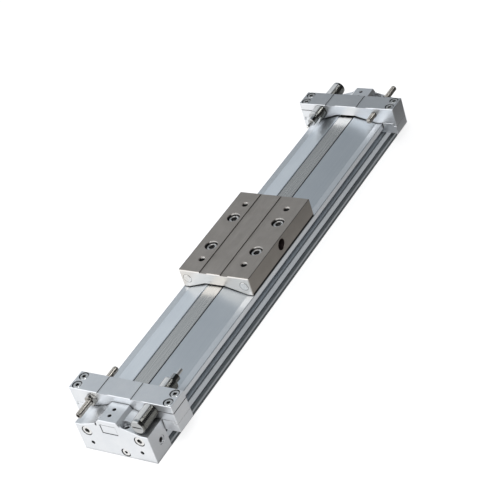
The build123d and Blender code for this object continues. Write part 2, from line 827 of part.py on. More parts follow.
def piston_yoke():
    """Yoke: a body in the bore, a bridge through the slot and a saddle under the table."""
    body = along_x(oblong(piston_gap), -yoke_end, yoke_end)
    tunnel = belt_seat_width / 2 + slide_clearance
    full = (-yoke_end, yoke_end)
    body -= block(full, (slot_offset - tunnel, slot_offset + tunnel), (tunnel_floor, tunnel_top))
    half_bridge = slot_width / 2 - bridge_gap
    arch = roof_points(saddle_gap, saddle_width / 2)
    bridge_top = arch[1][1]
    bridge = block((-bridge_length / 2, bridge_length / 2),
                   (slot_offset - half_bridge, slot_offset + half_bridge),
                   (yoke_top - tunnel_roof / 2, bridge_top))
    bridge = fillet(bridge.edges().filter_by(Axis.Z), half_bridge / 2)
    outer = saddle_width / 2
    saddle = along_x(polygon(arch + [(-outer, saddle_top), (outer, saddle_top)]),
                     -saddle_end, saddle_end)
    for x, y in grid(table_screw_spread_x, table_screw_spread_y):
        hole = Cylinder(table_screw_size / 2 + thread_clearance, saddle_top, align=TOP)
        saddle -= Pos(x, y, saddle_top) * hole
        saddle -= Pos(x, y, table_screw_seat) * Cylinder(counterbore_radius, saddle_top, align=BOTTOM)
    yoke = body + bridge + saddle
    for end in SIDES:
        floor = end * (yoke_end - piston_screw_engagement - screw_tip_room)
        hole = piston_screw_size + 2 * thread_clearance
        yoke -= rod_x(floor, end * yoke_end, slot_offset, piston_screw_height, hole)
    for side in SIDES:
        yoke -= magnet(side, thread_clearance)
    return on_table(yoke)


def magnet(side, growth):
    """Round magnet in one side of the yoke, grown for its pocket."""
    face = slot_offset + side * (bore_width / 2 - piston_gap - magnet_recess)
    back = face - side * magnet_length
    middle = (face + back) / 2
    solid = Cylinder(magnet_size / 2 + growth, abs(face - back))
    return Pos(0, middle, bore_middle) * Rot(90, 0, 0) * solid


def sensor_magnets():
    """Magnets that switch a sensor in the tube's T-slot."""
    return group(on_table(magnet(side, 0)) for side in SIDES)


def belt_guide(end):
    """Spacer between yoke and piston, with a ramp that the seal belt rides on."""
    start, stop = yoke_end, piston_start
    low, high = sunk_belt_level - belt_clearance, yoke_top
    ramp_start, ramp_stop = yoke_end + ramp_lead, piston_start - ramp_lead / 2
    side = polygon([(end * start, bore_floor), (end * start, low), (end * ramp_start, low),
                    (end * ramp_stop, high), (end * stop, high), (end * stop, bore_floor)])
    guide = along_x(oblong(piston_gap), end * start, end * stop)
    guide &= along_y(side, slot_offset - bore_width, slot_offset + bore_width)
    hole = piston_screw_size + 2 * hole_clearance
    guide -= rod_x(end * start, end * stop, slot_offset, piston_screw_height, hole)
    return on_table(guide)


def piston(end):
    """Oblong piston with grooves for its seal and wear ring and a pocket for the spigot."""
    body = along_x(oblong(piston_gap), end * piston_start, end * piston_end)
    body -= piston_ring(end, piston_seal_setback, piston_seal_width, piston_gap, piston_seal_depth)
    body -= piston_ring(end, wear_ring_setback, wear_ring_width, piston_gap, wear_ring_depth)
    pocket_floor = end * (piston_end - cushion_pocket_depth)
    body -= rod_x(pocket_floor, end * piston_end, slot_offset, bore_middle, cushion_pocket_size)
    seal_floor = end * (piston_end - cushion_seal_width)
    body -= rod_x(seal_floor, end * piston_end, slot_offset, bore_middle, cushion_seal_size)
    height = piston_screw_height
    head_floor = pocket_floor - end * piston_screw_head_height
    wide = piston_screw_head + counterbore_clearance
    body -= rod_x(head_floor, pocket_floor, slot_offset, height, wide)
    hole = piston_screw_size + 2 * hole_clearance
    body -= rod_x(end * piston_start, pocket_floor, slot_offset, height, hole)
    return on_table(body)


def piston_ring(end, setback, width, gap, depth):
    """Ring round a piston, from a gap off the bore down to a depth below the piston's face."""
    outer = end * (piston_end - setback)
    inner = outer - end * width
    return along_x(oblong(gap) - oblong(piston_gap + depth), inner, outer)


def piston_seals():
    """Seal of each piston."""
    return group(on_table(piston_ring(end, piston_seal_setback, piston_seal_width,
                                      piston_seal_gap, piston_seal_depth)) for end in SIDES)


def wear_rings():
    """Wear ring of each piston."""
    return group(on_table(piston_ring(end, wear_ring_setback, wear_ring_width,
                                      wear_ring_gap, wear_ring_depth)) for end in SIDES)


def cushion_seals():
    """Seal at the mouth of each piston's pocket."""
    pieces = []
    for end in SIDES:
        floor, face = end * (piston_end - cushion_seal_width), end * piston_end
        ring = rod_x(floor, face, slot_offset, bore_middle, cushion_seal_size)
        ring -= rod_x(floor, face, slot_offset, bore_middle, cushion_seal_bore)
        pieces.append(on_table(ring))
    return group(pieces)


def piston_screws():
    """Screw that holds each piston and its belt guide on the yoke."""
    seat = piston_end - cushion_pocket_depth - piston_screw_head_height
    length = seat - yoke_end + piston_screw_engagement
    screw = socket_screw(piston_screw_size, length, piston_screw_head,
                         piston_screw_head_height, piston_screw_socket)
    pieces = []
    for end in SIDES:
        place = (end * seat, slot_offset, piston_screw_height)
        pieces.append(on_table(Plane(origin=place, z_dir=(end, 0, 0)) * screw))
    return group(pieces)


def ramp_height(x):
    """Underside of the dust band at a distance from the table's middle, without its bends."""
    return min(dust_band_level + (channel_end - x) * band_ramp_slope, raised_band_level)


def band_lifter(end):
    """Wedge at one end of the saddle that lifts the dust band."""
    start, crest = saddle_end, band_ramp_start
    floor = roof_height + belt_clearance
    drop = belt_clearance + channel_clearance / 2
    tip = floor + lifter_tip
    stop = channel_end - (tip + drop - dust_band_level) / band_ramp_slope
    points = [(start, floor), (start, saddle_top), (crest, ramp_height(crest) - drop),
              (stop, tip), (stop, floor)]
    width = slot_width / 2
    side = polygon([(end * x, z) for x, z in points])
    return on_table(along_y(side, slot_offset - width, slot_offset + width))


def band_presser(end):
    """Shoe under the channel's roof that holds the dust band down behind the scraper."""
    start, stop = (saddle_end + 2 * channel_end) / 3, channel_end
    drop = dust_band_thickness + belt_clearance + channel_clearance / 2
    points = [(start, channel_roof), (start, ramp_height(start) + drop),
              (stop, ramp_height(stop) + drop), (stop, channel_roof)]
    width = channel_half
    side = polygon([(end * x, z) for x, z in points])
    return on_table(along_y(side, slot_offset - width, slot_offset + width))


parts = {
    "cylinder_tube": cylinder_tube(),
    "seal_belt": seal_belt(),
    "dust_band": dust_band(),
    "belt_clamps": group(belt_clamp(end) for end in SIDES),
    "set_screws": set_screws(),
    "cover_screws": cover_screws(),
    "cover_gaskets": group(cover_gasket(end) for end in SIDES),
    "cushion_spigots": group(cushion_spigot(end) for end in SIDES),
    "lock_nuts": group(lock_nut(end) for end in SIDES),
    "slide_table": slide_table(),
    "table_screws": table_screws(),
    "hit_pads": hit_pads(),
    "bearing_strips": bearing_strips(),
    "end_scrapers": end_scrapers(),
    "piston_yoke": piston_yoke(),
    "sensor_magnets": sensor_magnets(),
    "belt_guides": group(belt_guide(end) for end in SIDES),
    "piston_seals": piston_seals(),
    "wear_rings": wear_rings(),
    "cushion_seals": cushion_seals(),
    "piston_screws": piston_screws(),
    "band_lifters": group(band_lifter(end) for end in SIDES),
    "band_pressers": group(band_presser(end) for end in SIDES),
}
for name, end in ENDS.items():
    parts["end_cover_" + name] = end_cover(end)
    parts["cushion_needle_" + name] = cushion_needle(end)
    parts["stopper_block_" + name] = stopper_block(end)
    parts["rail_clamps_" + name] = group(rail_clamp(end, side) for side in SIDES)
    parts["clamp_screws_" + name] = clamp_screws(end)
    parts["absorber_body_" + name] = absorber_body(end)
    parts["absorber_rod_" + name] = absorber_rod(end)
    parts["absorber_spring_" + name] = absorber_spring(end)
    parts["adjusting_bolt_" + name] = adjusting_bolt(end)
    parts["piston_" + name] = piston(end)

os.makedirs("parts", exist_ok=True)
for name, solid in parts.items():
    export_step(solid, "parts/" + name + ".step")
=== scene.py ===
import math

import bmesh
import bpy
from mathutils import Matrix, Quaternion, Vector
from mathutils.bvhtree import BVHTree


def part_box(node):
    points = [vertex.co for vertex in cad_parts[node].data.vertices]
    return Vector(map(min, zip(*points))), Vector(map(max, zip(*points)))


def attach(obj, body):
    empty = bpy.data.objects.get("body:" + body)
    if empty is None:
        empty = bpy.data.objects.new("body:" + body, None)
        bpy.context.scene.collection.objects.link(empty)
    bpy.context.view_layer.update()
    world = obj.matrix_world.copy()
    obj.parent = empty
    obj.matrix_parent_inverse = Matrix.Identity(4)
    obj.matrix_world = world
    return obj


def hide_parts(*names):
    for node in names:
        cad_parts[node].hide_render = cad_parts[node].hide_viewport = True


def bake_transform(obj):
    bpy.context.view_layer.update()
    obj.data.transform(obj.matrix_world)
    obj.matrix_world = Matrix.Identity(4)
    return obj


# Rodless pneumatic cylinder: finishes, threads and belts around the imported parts. Lengths are in
# metres and the frame is the parts' own: +X along the tube, +Z up, the near end at -X.

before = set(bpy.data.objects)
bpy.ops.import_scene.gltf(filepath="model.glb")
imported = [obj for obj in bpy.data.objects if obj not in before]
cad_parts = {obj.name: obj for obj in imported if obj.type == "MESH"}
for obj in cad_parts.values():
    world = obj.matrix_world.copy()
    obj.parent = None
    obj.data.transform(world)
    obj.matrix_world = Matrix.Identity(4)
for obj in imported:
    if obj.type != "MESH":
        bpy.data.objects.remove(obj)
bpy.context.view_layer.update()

MM = 0.001

# Camera at the photograph's viewpoint
camera_place = (-0.78717, -0.67197, 0.74348)
camera_aim = (-0.0099, -0.00453, 0.0300)
camera_roll = math.radians(-18.80)
camera_lens = 113.29
sensor_width = 36.0

# Light from the surroundings: a level that slopes with the direction, within limits
light_middle = 2.415
light_slope = (-1.66, -0.676, -1.10)
light_least = 0.15
light_most = 1.45

# Spots that change it: direction, cosine at the rim, cosine where it is full, and its factor there
side_wall = ((0.615, -0.63, 0.475), 0.66, 0.76, 0.05)
far_screen = ((0.709, 0.489, 0.511), 0.965, 0.995, 0.80)
front_wall = ((-0.45, -0.62, 0.64), 0.60, 0.78, 0.05)
far_glow = ((0.709, 0.167, 0.686), 0.955, 0.995, 1.2)

# Lamp
lamp_place = (-0.85, -0.78, 1.5)
lamp_size = 0.8
lamp_power = 14.0

# Floor
floor_size = 6.0
floor_drop = 0.05 * MM
floor_colour = (0.36, 0.36, 0.37, 1)
floor_glow = 0.82

# Measures read from the frame
table_low, table_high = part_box("slide_table")
table_middle = (table_low.x + table_high.x) / 2
table_end = (table_high.x - table_low.x) / 2
table_top = table_high.z
table_floor = table_low.z
table_side = table_high.y
pads_low, pads_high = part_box("hit_pads")
pad_radius = (pads_high.z - pads_low.z) / 2
pad_spread = (pads_high.y - pads_low.y) / 2 - pad_radius
pad_height = (pads_high.z + pads_low.z) / 2
screws_low, screws_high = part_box("table_screws")
tube_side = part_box("cylinder_tube")[1].y
band_low, band_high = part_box("dust_band")
rail_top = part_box("bearing_strips")[0].z
cover_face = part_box("end_cover_near")[0].x
block_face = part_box("stopper_block_near")[0].x

# Brightness of the floor as the metal mirrors it, with a painted shadow: beside the tube, with its rise
# along the near block; further out, with its fall along X; and white under the tube and before the near
# cover
beside_width = 21 * MM
beside_edge = 9 * MM
beside_level = 0.48
beside_block_level = 0.8 * beside_level
beside_rise = 20 * MM
outer_level = 0.40
outer_fall = 1.42
outer_least = 0.06
outer_most = 0.47
under_start = -10 * MM
under_full = -20 * MM
front_start = cover_face + 1 * MM
front_full = cover_face - 2 * MM

# Lines along the tube, which bound painted light and shade on it
recess_floor = band_low.z - 0.1 * MM
recess_side = band_high.y - 0.5 * MM
seam_shade_low = band_low.y - 1.5 * MM
seam_shade_high = band_low.y + 0.4 * MM
rail_width = 5.7 * MM
rail_line = 0.55 * MM
rail_line_low = rail_top - 0.7 * MM
rail_line_high = rail_top + 0.1 * MM
slots_top = 20.4 * MM
slots_middle = 11.0 * MM
slots_start = 0.1 * MM
slots_full = 0.5 * MM
slot_lip = 1.6 * MM
strip_top = 4.5 * MM
foot_top = 2.5 * MM

# Ends and edges of the table
end_face = table_end - 0.1 * MM
end_bevel = table_end - 0.5 * MM
# Lines of painted shade along the table's foot and its long top edges
foot_line_high = table_floor + 2.0 * MM
foot_line_low = table_floor + 1.4 * MM
rim_side = table_side - 0.55 * MM
rim_low = table_top - 0.4 * MM
pad_line_inner = pad_radius - 0.1 * MM
pad_line_outer = pad_radius + 0.45 * MM

# Bounds of painted highlight and shade in the holes and on the screw heads follow
# Holes of the table and heads of its screws
holes_end = table_end - 1 * MM
holes_side = 27 * MM
holes_top = table_top - 0.05 * MM
groove_low = 5.9 * MM
groove_high = 13.5 * MM
bore_dark_top = table_top - 0.8 * MM
bore_lit_top = table_top - 1.2 * MM
bore_lit_foot = table_top - 1.8 * MM
side_hole_height = 35.4 * MM
side_hole_radius = 4.9 * MM
side_hole_start = -table_side + 0.3 * MM
side_hole_stop = -table_side + 6 * MM
head_radius = 5.0 * MM
head_ring_inner = head_radius - 1.2 * MM
head_ring_outer = head_radius - 0.8 * MM
head_spread = (screws_high.x - screws_low.x) / 2 - head_radius
head_side = screws_high.y - head_radius
socket_radius = 2.3 * MM
socket_top = screws_high.z - 0.2 * MM

# Small lengths: how far a surface stays inside its part's or off its axis, and the step from a
# plain ring to a thread
inset = 0.01 * MM
thread_gap = 0.1 * MM

# Belts
belt_step = 5.0 * MM
belt_bend_step = 1.0 * MM
belt_bevel = 0.1 * MM

# Turned parts
round_points = 32
thread_rings = 6
bolt_pitch = 0.8 * MM
bolt_groove = 0.28 * MM
bolt_tip = 1.6 * MM
bolt_socket = 2.5 * MM
bolt_socket_depth = 2.5 * MM
absorber_pitch = 1.0 * MM
absorber_groove = 0.35 * MM
absorber_crest = 0.2
absorber_nose_radius = 3.5 * MM
absorber_nose_length = 6.5 * MM
absorber_hole_radius = 1.45 * MM
absorber_hole_length = 11.5 * MM
absorber_chamber_radius = 4.0 * MM
absorber_chamber_length = 35.0 * MM
absorber_rim = 2.2 * MM
absorber_chamfer = 0.8 * MM
driver_slot_width = 1.2 * MM
driver_slot_depth = 1.2 * MM
driver_slot_margin = 1.2 * absorber_chamfer
edge_break = 0.4 * MM
spring_wire = 0.3 * MM
spring_turns = 6
spring_points = 8
spring_steps = 24

# Reach of the painted shade in corners, and in deep holes
corner_reach = 0.9 * MM
hole_reach = 5.0 * MM
small_corner_reach = 0.5 * MM
small_hole_reach = 4.0 * MM


class Tree:
    """Adds nodes to a shader tree. An input is a plain value or another node's output."""

    def __init__(self, owner):
        owner.use_nodes = True
        self.tree = owner.node_tree
        self.tree.nodes.clear()

    def feed(self, socket, value):
        if isinstance(value, bpy.types.NodeSocket):
            self.tree.links.new(value, socket)
        elif value is not None:
            socket.default_value = value

    def node(self, kind, inputs=None, **settings):
        made = self.tree.nodes.new(kind)
        for name, value in settings.items():
            setattr(made, name, value)
        for socket, value in (inputs or {}).items():
            self.feed(made.inputs[socket], value)
        return made

    def math(self, operation, a, b=None):
        return self.node("ShaderNodeMath", {0: a, 1: b}, operation=operation).outputs[0]

    def total(self, a, b):
        return self.math("ADD", a, b)

    def minus(self, a, b):
        return self.math("SUBTRACT", a, b)

    def product(self, a, b):
        return self.math("MULTIPLY", a, b)

    def larger(self, a, b):
        return self.math("MAXIMUM", a, b)

    def size(self, value):
        return self.math("ABSOLUTE", value)

    def above(self, value, limit):
        """1 where a value is above a limit, else 0."""
        return self.math("GREATER_THAN", value, limit)

    def below(self, value, limit):
        """1 where a value is below a limit, else 0."""
        return self.math("LESS_THAN", value, limit)

    def between(self, value, low, high):
        """1 where a value lies between two limits, else 0."""
        return self.product(self.above(value, low), self.below(value, high))

    def distance(self, a, b):
        """Length of the vector (a, b)."""
        return self.math("SQRT", self.total(self.product(a, a), self.product(b, b)))

    def spread(self, value, low, high, to_low=0.0, to_high=1.0, smooth=False):
        """Map a range of a value onto another range, clamped."""
        inputs = {0: value, 1: low, 2: high, 3: to_low, 4: to_high}
        kind = "SMOOTHSTEP" if smooth else "LINEAR"
        return self.node("ShaderNodeMapRange", inputs, interpolation_type=kind).outputs[0]

    def blend(self, a, b, share):
        """Weighted sum of two values, with the first one's share."""
        return self.total(self.product(a, share), self.product(b, 1 - share))

    def mix(self, share, a, b):
        """Mix two colours, with the second one's share."""
        inputs = {0: share, 6: a, 7: b}
        return self.node("ShaderNodeMix", inputs, data_type="RGBA").outputs[2]

    def tint(self, colour, share, other, strength=1.0):
        """Turn a colour towards another one, where a share is 1, by a strength."""
        if strength < 1:
            share = self.product(share, strength)
        return self.mix(share, colour, other)

    def dot(self, a, b):
        inputs = {0: a, 1: b}
        return self.node("ShaderNodeVectorMath", inputs, operation="DOT_PRODUCT").outputs[1]

    def split(self, vector):
        return self.node("ShaderNodeSeparateXYZ", {0: vector}).outputs

    def axes(self):
        """Place on the object in metres, as three values."""
        return self.split(self.node("ShaderNodeTexCoord").outputs["Object"])

    def facing(self, kind="True Normal"):
        """Direction of the face, as three values."""
        return self.split(self.node("ShaderNodeNewGeometry").outputs[kind])

    def place(self, scale=(1, 1, 1)):
        """Place on the object in millimetres, stretched by a scale along each axis."""
        source = self.node("ShaderNodeTexCoord").outputs["Object"]
        size = [value / MM for value in scale]
        return self.node("ShaderNodeVectorMath", {0: source, 1: size}, operation="MULTIPLY").outputs[0]

    def noise(self, vector, scale, detail, roughness):
        inputs = {"Vector": vector, "Scale": scale, "Detail": detail, "Roughness": roughness}
        return self.node("ShaderNodeTexNoise", inputs).outputs[0]

    def bump(self, height, strength, distance, normal=None):
        inputs = {"Height": height, "Strength": strength, "Distance": distance, "Normal": normal}
        return self.node("ShaderNodeBump", inputs).outputs[0]


def edge_share(tree, radius):
    """1 along the sharp edges of a piece and 0 on its flat faces, with the softened normal."""
    soft = tree.node("ShaderNodeBevel", {0: radius}, samples=6).outputs[0]
    plain = tree.node("ShaderNodeNewGeometry").outputs["Normal"]
    return tree.spread(tree.dot(soft, plain), 0.995, 0.86), soft


def open_share(tree, near, deep):
    """Share left free of painted shade: 1 on open faces, falling towards 0 in corners, seams and deep
    holes.
    """
    shares = []
    for reach, low, high in ((near, 0.35, 0.80), (deep, 0.22, 0.68)):
        node = tree.node("ShaderNodeAmbientOcclusion", {"Distance": reach}, samples=6)
        shares.append(tree.spread(node.outputs["AO"], low, high))
    return tree.product(shares[0], shares[1])


def shade_in_hollows(tree, colour, dark, near=corner_reach, deep=hole_reach):
    """Colour with painted shade that turns it dark in corners, seams and deep holes."""
    return tree.mix(open_share(tree, near, deep), dark, colour)


def two_tone(tree, tone, dark, light):
    """Mottled colour between two tones, by a noise."""
    return tree.mix(tree.spread(tone, 0.35, 0.65), dark, light)


def new_material(name):
    material = bpy.data.materials.new(name)
    return material, Tree(material)


def finished(material, tree, colour, roughness, normal, metallic=1.0):
    """Close a tree with a Principled shader."""
    inputs = {"Base Color": colour, "Roughness": roughness, "Metallic": metallic, "Normal": normal}
    shader = tree.node("ShaderNodeBsdfPrincipled", inputs)
    tree.node("ShaderNodeOutputMaterial", {0: shader.outputs[0]})
    return material


def anodised_material():
    """Clear-anodised extrusion: die lines along the tube over a satin, slightly cloudy ground."""
    material, tree = new_material("anodised_extrusion")
    lines = tree.noise(tree.place((0.012, 3.2, 3.2)), 1.0, 4.0, 0.6)
    cloud = tree.noise(tree.place(), 0.035, 3.0, 0.55)
    grain = tree.noise(tree.place(), 5.0, 2.0, 0.6)
    edge, soft = edge_share(tree, 0.35 * MM)
    tone = tree.blend(lines, cloud, 0.6)
    colour = two_tone(tree, tone, (0.66, 0.705, 0.75, 1), (0.745, 0.785, 0.82, 1))
    # Painted highlight along the sharp edges
    colour = tree.tint(colour, edge, (0.90, 0.91, 0.92, 1), 0.25)
    x, y, z = tree.axes()
    depth = tree.minus(tube_side, tree.size(y))
    # The rails get a painted highlight that makes them brighter, with a fine line of painted shade along
    # their edges
    rail = tree.product(tree.below(depth, rail_width), tree.above(z, slots_top))
    colour = tree.tint(colour, rail, (0.93, 0.95, 0.98, 1), 0.65)
    line = tree.product(tree.below(depth, rail_line), tree.between(z, rail_line_low, rail_line_high))
    colour = tree.tint(colour, line, (0.25, 0.28, 0.31, 1), 0.5)
    # The band's recess is open towards +Y, where no shade is painted, and painted shade makes a dark
    # seam towards -Y
    raised = tree.above(z, recess_floor)
    lit = tree.product(raised, tree.above(y, recess_side))
    seam_shade = tree.product(raised, tree.between(y, seam_shade_low, seam_shade_high))
    opened = tree.larger(open_share(tree, corner_reach, hole_reach), lit)
    dark = tree.larger(tree.minus(1.0, opened), seam_shade)
    # The slots in the sides take stray light from below and are dull inside, so no corner shade is
    # painted in them; their lips and insides get colours of painted light and shade instead
    slots = tree.product(tree.spread(depth, slots_start, slots_full), tree.below(z, slots_top))
    dark = tree.product(dark, tree.minus(1.0, slots))
    # Painted shade: darken where the share of shade is high
    colour = tree.mix(dark, colour, (0.04, 0.045, 0.055, 1))
    lip = tree.below(depth, slot_lip)
    upper = tree.mix(lip, (0.49, 0.535, 0.58, 1), (0.14, 0.155, 0.17, 1))
    lower = tree.mix(lip, (0.48, 0.52, 0.56, 1), (0.30, 0.32, 0.325, 1))
    colour = tree.mix(slots, colour, tree.mix(tree.above(z, slots_middle), lower, upper))
    # Painted shade towards the floor: the strip under the lower slot is darker, and the foot darker
    # still
    foot = tree.product(tree.below(z, foot_top), 0.8)
    foot = tree.larger(foot, tree.product(tree.below(z, strip_top), 0.42))
    colour = tree.mix(foot, colour, (0.10, 0.11, 0.115, 1))
    roughness = tree.spread(lines, 0.3, 0.7, 0.30, 0.40)
    normal = tree.bump(tree.blend(lines, grain, 0.7), 0.12, 0.03 * MM, soft)
    return finished(material, tree, colour, roughness, normal, tree.spread(slots, 0.0, 1.0, 0.95, 0.1))


def machined_material(name, top=1.0):
    """Fine-milled and clear-anodised blocks and covers, with painted shade on their top faces by a
    factor.
    """
    material, tree = new_material(name)
    cuts = tree.noise(tree.place((0.35, 5.0, 5.0)), 1.0, 3.0, 0.6)
    cloud = tree.noise(tree.place(), 0.06, 3.0, 0.55)
    grain = tree.noise(tree.place(), 6.0, 2.0, 0.6)
    edge, soft = edge_share(tree, 0.3 * MM)
    tone = tree.blend(cuts, cloud, 0.4)
    colour = two_tone(tree, tone, (0.77, 0.795, 0.825, 1), (0.85, 0.865, 0.885, 1))
    # Painted highlight along the sharp edges
    colour = tree.tint(colour, edge, (0.95, 0.95, 0.95, 1), 0.25)
    # Painted shade in corners, seams and deep holes
    colour = shade_in_hollows(tree, colour, (0.06, 0.063, 0.066, 1))
    # Painted shade: top faces darker by the factor
    if top < 1:
        colour = tree.tint(colour, tree.above(tree.facing()[2], 0.9), (0, 0, 0, 1), 1 - top)
    roughness = tree.spread(cuts, 0.3, 0.7, 0.33, 0.43)
    normal = tree.bump(tree.blend(cuts, grain, 0.6), 0.12, 0.03 * MM, soft)
    return finished(material, tree, colour, roughness, normal, 0.92)


def table_anodising(tree, lines, edge):
    """Brown-grey skin of the table, with dark lines of painted shade along its foot and its long top
    edges.
    """
    x, y, z = tree.axes()
    sideways = tree.size(tree.facing()[1])
    cloud = tree.noise(tree.place(), 0.07, 3.0, 0.6)
    tone = tree.blend(lines, cloud, 0.5)
    brown = two_tone(tree, tone, (0.425, 0.385, 0.35, 1), (0.53, 0.485, 0.445, 1))
    # Painted highlight along the sharp edges
    brown = tree.tint(brown, edge, (0.62, 0.60, 0.57, 1), 0.15)
    # Painted shade in corners, seams and deep holes
    brown = shade_in_hollows(tree, brown, (0.03, 0.027, 0.026, 1))
    # Painted shade: the sides darker
    brown = tree.tint(brown, tree.spread(sideways, 0.5, 0.9), (0.205, 0.195, 0.175, 1), 0.45)
    # Painted shade: a dark line along the foot
    foot = tree.product(tree.spread(z, foot_line_high, foot_line_low), tree.above(sideways, 0.5))
    brown = tree.tint(brown, foot, (0.01, 0.01, 0.01, 1))
    # Painted shade: a dark line along the long top edges
    rim = tree.product(tree.above(tree.size(y), rim_side), tree.above(z, rim_low))
    brown = tree.tint(brown, rim, (0.05, 0.045, 0.042, 1), 0.6)
    # Painted shade darkens the hole in the side
    away = tree.distance(tree.minus(x, table_middle), tree.minus(z, side_hole_height))
    walls = tree.between(y, side_hole_start, side_hole_stop)
    hole = tree.product(tree.below(away, side_hole_radius), walls)
    return tree.tint(brown, hole, (0.14, 0.11, 0.105, 1))


def table_silver(tree, grain, ends):
    """Bare metal of the table's ends, with a thin line round each hit pad."""
    x, y, z = tree.axes()
    silver = tree.mix(tree.spread(grain, 0.3, 0.7), (0.69, 0.67, 0.64, 1), (0.77, 0.75, 0.72, 1))
    away = tree.distance(tree.minus(tree.size(y), pad_spread), tree.minus(z, pad_height))
    line = tree.product(tree.between(away, pad_line_inner, pad_line_outer), ends)
    return tree.tint(silver, line, (0.20, 0.19, 0.18, 1), 0.75)


def table_bores(tree):
    """Holes of the table: brown at their rim, with a painted highlight at its far side and painted shade
    further down.
    """
    z = tree.axes()[2]
    lit = tree.spread(z, bore_lit_foot, bore_lit_top)
    lit = tree.product(lit, tree.spread(tree.facing()[0], -0.55, -0.75))
    rim = tree.mix(tree.below(z, bore_dark_top), (0.27, 0.25, 0.23, 1), (0.03, 0.03, 0.03, 1))
    return tree.mix(lit, rim, (0.96, 0.94, 0.91, 1))


def table_material():
    """Brown-grey hard anodising, bare where the ends and holes were machined after it."""
    material, tree = new_material("table_anodising")
    x, y, z = tree.axes()
    facing = tree.facing()
    along = tree.size(tree.minus(x, table_middle))
    across = tree.size(y)
    bevel = tree.product(tree.above(tree.size(facing[0]), 0.5), tree.above(along, end_bevel))
    ends = tree.larger(tree.above(along, end_face), bevel)
    inside = tree.product(tree.below(across, holes_side), tree.below(tree.size(facing[2]), 0.9))
    inside = tree.product(inside, tree.below(z, holes_top))
    inside = tree.product(inside, tree.minus(1.0, tree.between(across, groove_low, groove_high)))
    inside = tree.product(inside, tree.below(along, holes_end))
    lines = tree.noise(tree.place((0.05, 3.0, 3.0)), 1.0, 4.0, 0.6)
    grain = tree.noise(tree.place(), 4.0, 3.0, 0.65)
    edge, soft = edge_share(tree, 0.3 * MM)
    colour = tree.mix(ends, table_anodising(tree, lines, edge), table_silver(tree, grain, ends))
    colour = tree.mix(inside, colour, table_bores(tree))
    roughness = tree.spread(lines, 0.3, 0.7, 0.36, 0.46)
    roughness = tree.minus(roughness, tree.product(tree.larger(ends, inside), 0.08))
    normal = tree.bump(tree.total(lines, grain), 0.12, 0.03 * MM, soft)
    return finished(material, tree, colour, roughness, normal, tree.spread(inside, 0.0, 1.0, 0.97, 0.25))


def band_material():
    """Stainless band with fine lines from rolling."""
    material, tree = new_material("stainless_band")
    lines = tree.noise(tree.place((0.01, 7.0, 7.0)), 1.0, 4.0, 0.65)
    cloud = tree.noise(tree.place((0.3, 1, 1)), 0.06, 3.0, 0.5)
    tone = tree.blend(lines, cloud, 0.6)
    colour = two_tone(tree, tone, (0.765, 0.755, 0.735, 1), (0.815, 0.805, 0.785, 1))
    roughness = tree.spread(lines, 0.3, 0.7, 0.20, 0.30)
    normal = tree.bump(lines, 0.03, 0.02 * MM)
    return finished(material, tree, colour, roughness, normal)


def head_ring_shade(tree):
    """1 on the outer ring and in the socket of the heads of the table's screws, where shade is painted.
    """
    x, y, z = tree.axes()
    along = tree.minus(tree.size(tree.minus(x, table_middle)), head_spread)
    away = tree.distance(along, tree.minus(tree.size(y), head_side))
    socket = tree.product(tree.below(away, socket_radius), tree.below(z, socket_top))
    return tree.larger(tree.spread(away, head_ring_inner, head_ring_outer), socket)


def steel_material(name, dark, light, low, high, edge_highlight=None, shaded_heads=False, lit_flank=None):
    """Metal of small turned parts: two tones over turning marks round the X axis."""
    material, tree = new_material(name)
    marks = tree.noise(tree.place((6.0, 0.6, 0.6)), 1.0, 3.0, 0.6)
    grain = tree.noise(tree.place(), 4.0, 3.0, 0.6)
    colour = two_tone(tree, marks, dark, light)
    normal = None
    # Painted highlight along the sharp edges
    if edge_highlight:
        edge, normal = edge_share(tree, 0.15 * MM)
        colour = tree.tint(colour, edge, edge_highlight)
    # Painted shade in corners, seams and deep holes
    colour = shade_in_hollows(tree, colour, (0.02, 0.02, 0.02, 1), small_corner_reach, small_hole_reach)
    if lit_flank:
        # Painted reflection: a lighter colour on all but the side towards -Y
        colour = tree.tint(colour, tree.spread(tree.facing("Normal")[1], -0.45, -0.25), lit_flank)
    # Painted shade on the heads' outer ring and in their sockets
    if shaded_heads:
        colour = tree.tint(colour, head_ring_shade(tree), (0.02, 0.02, 0.02, 1))
    roughness = tree.spread(grain, 0.3, 0.7, low, high)
    normal = tree.bump(tree.total(marks, grain), 0.08, 0.02 * MM, normal)
    return finished(material, tree, colour, roughness, normal)


def plastic_material(name, dark, light, low, high):
    """Moulded plastic or rubber with a fine mottled skin."""
    material, tree = new_material(name)
    mottle = tree.noise(tree.place(), 0.8, 4.0, 0.6)
    skin = tree.noise(tree.place(), 7.0, 3.0, 0.6)
    colour = two_tone(tree, mottle, dark, light)
    roughness = tree.spread(skin, 0.3, 0.7, low, high)
    normal = tree.bump(skin, 0.2, 0.04 * MM)
    return finished(material, tree, colour, roughness, normal, 0.0)


def new_piece(name, points, faces, material, sharp=30):
    """Smooth-shaded object from a list of points and faces."""
    mesh = bpy.data.meshes.new(name)
    mesh.from_pydata(points, [], faces)
    shell = bmesh.new()
    shell.from_mesh(mesh)
    bmesh.ops.recalc_face_normals(shell, faces=shell.faces)
    shell.to_mesh(mesh)
    shell.free()
    mesh.shade_smooth()
    mesh.set_sharp_from_angle(angle=math.radians(sharp))
    mesh.materials.append(material)
    piece = bpy.data.objects.new(name, mesh)
    bpy.context.scene.collection.objects.link(piece)
    return piece


def tube_faces(rings, points):
    """Faces between rings of points, with a face across each end."""
    faces = [tuple(reversed(range(points)))]
    for ring in range(rings - 1):
        for point in range(points):
            a = ring * points + point
            b = ring * points + (point + 1) % points
            faces.append((a, b, b + points, a + points))
    last = (rings - 1) * points
    faces.append(tuple(range(last, last + points)))
    return faces


